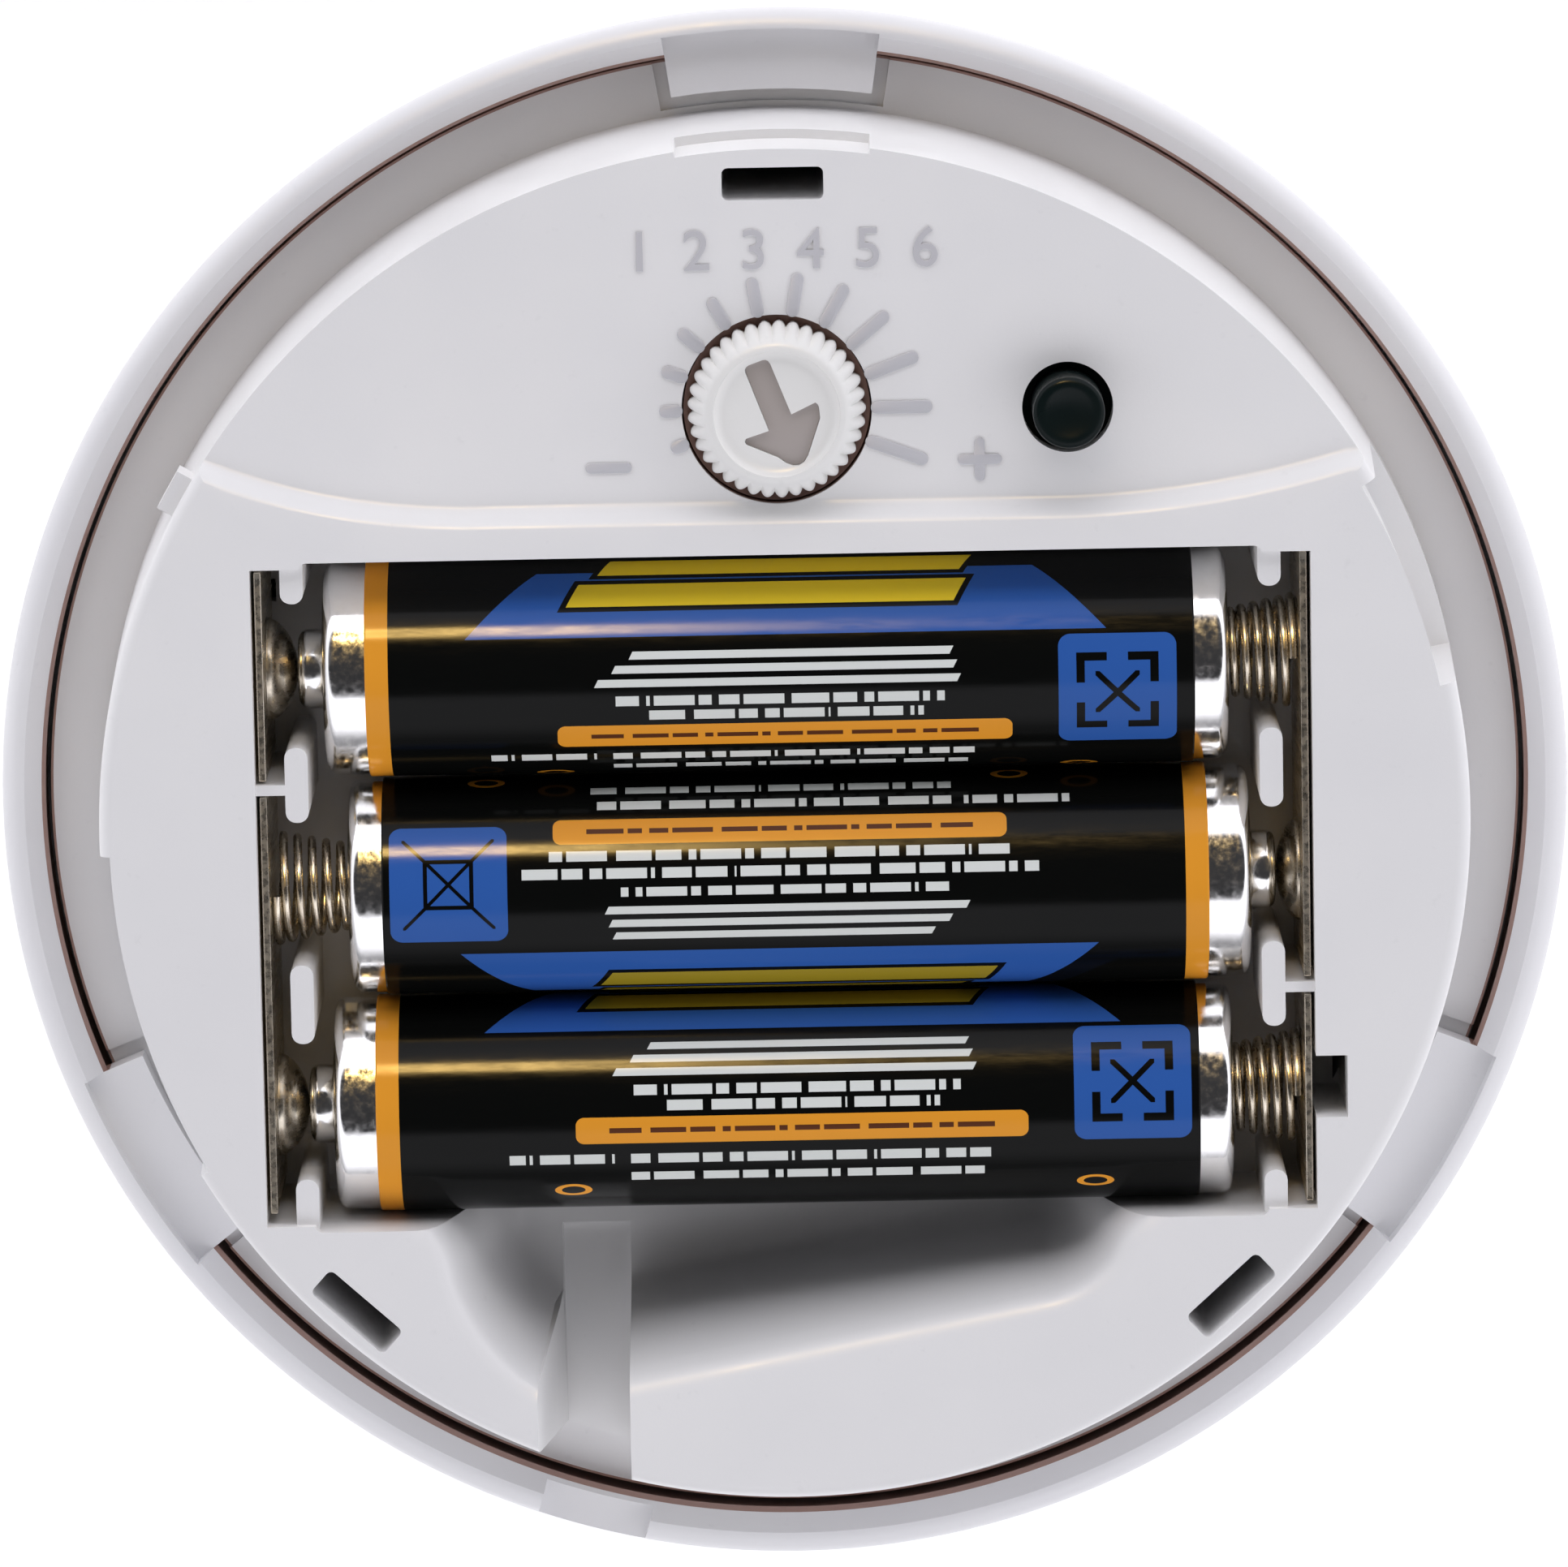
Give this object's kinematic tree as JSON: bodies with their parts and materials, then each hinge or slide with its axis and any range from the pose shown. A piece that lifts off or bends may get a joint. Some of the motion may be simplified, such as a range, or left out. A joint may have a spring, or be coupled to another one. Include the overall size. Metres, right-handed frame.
{
  "type": "smoke detector",
  "caption": "Round battery smoke detector seen from its ceiling side: open cell bay, sensitivity dial, tamper plunger, bayonet lugs and a vented front with a test button.",
  "frame": {"origin": "centre of the flat front face, on which the unit rests when it lies face down", "axes": "+Z towards the ceiling side, +Y towards the sensitivity dial, +X to the right when the ceiling side is looked at"},
  "size_m": [0.076, 0.076, 0.0379],
  "materials": {
    "white_plastic": "fine moulded satin, off-white",
    "dial_plastic": "satin, near white",
    "button_plastic": "smooth black with a green cast",
    "black_plastic": "matt black",
    "circuit_board": "green solder mask",
    "cell_metal": "bright nickel plate",
    "cell_jacket": "glossy black film with plain blue and orange blocks",
    "nickel_contact": "nickel plated spring steel, slightly tarnished",
    "screw_steel": "zinc plated",
    "screen_steel": "etched stainless mesh",
    "sounder_brass": "plain brass disc",
    "clear_plastic": "clear acrylic",
    "red_plastic": "tinted lens"
  },
  "bodies": {
    "housing": {"front_cover": "white_plastic", "chassis": "white_plastic", "pcb": "circuit_board", "trimmer_body": "black_plastic", "tamper_switch": "black_plastic", "tamper_spring": "nickel_contact", "contact_left_single": "nickel_contact", "contact_left_double": "nickel_contact", "contact_right_double": "nickel_contact", "contact_right_single": "nickel_contact", "chamber_base": "black_plastic", "chamber_labyrinth": "black_plastic", "insect_screen": "screen_steel", "infrared_emitter": "clear_plastic", "photodiode": "button_plastic", "sounder_housing": "black_plastic", "sounder_disc": "sounder_brass", "test_switch": "black_plastic", "light_pipe": "clear_plastic", "alarm_led": "red_plastic", "microcontroller": "black_plastic", "capacitor": "button_plastic", "contact_spring_top": "nickel_contact", "contact_spring_middle": "nickel_contact", "contact_spring_bottom": "nickel_contact", "case_screw_1": "screw_steel", "case_screw_2": "screw_steel", "case_screw_3": "screw_steel"},
    "dial": {"sensitivity_knob": "dial_plastic"},
    "tamper_plunger": {"tamper_button": "button_plastic"},
    "test_plunger": {"test_button": "white_plastic"},
    "cell_top": {"battery_top_can": "cell_metal", "battery_top_sleeve": "cell_jacket"},
    "cell_middle": {"battery_middle_can": "cell_metal", "battery_middle_sleeve": "cell_jacket"},
    "cell_bottom": {"battery_bottom_can": "cell_metal", "battery_bottom_sleeve": "cell_jacket"}
  },
  "joints": [
    {"name": "dial_turn", "type": "hinge", "parent": "housing", "child": "dial", "pos_m": [0, 0.02, 0.0354], "axis": [0, 0, 1], "range_deg": [0, 300]},
    {"name": "tamper_press", "type": "slide", "parent": "housing", "child": "tamper_plunger", "axis": [0, 0, -1], "range_m": [0, 0.0016], "stiffness_N_per_m": 250, "springref_m": -0.0012, "deforming": ["tamper_spring"]},
    {"name": "test_press", "type": "slide", "parent": "housing", "child": "test_plunger", "axis": [0, 0, 1], "range_m": [0, 0.0005], "stiffness_N_per_m": 1500, "springref_m": -0.0005},
    {"name": "cell_top_lift", "type": "slide", "parent": "housing", "child": "cell_top", "axis": [0, 0, 1], "range_m": [0, 0.02]},
    {"name": "cell_middle_lift", "type": "slide", "parent": "housing", "child": "cell_middle", "axis": [0, 0, 1], "range_m": [0, 0.02]},
    {"name": "cell_bottom_lift", "type": "slide", "parent": "housing", "child": "cell_bottom", "axis": [0, 0, 1], "range_m": [0, 0.02]}
  ]
}
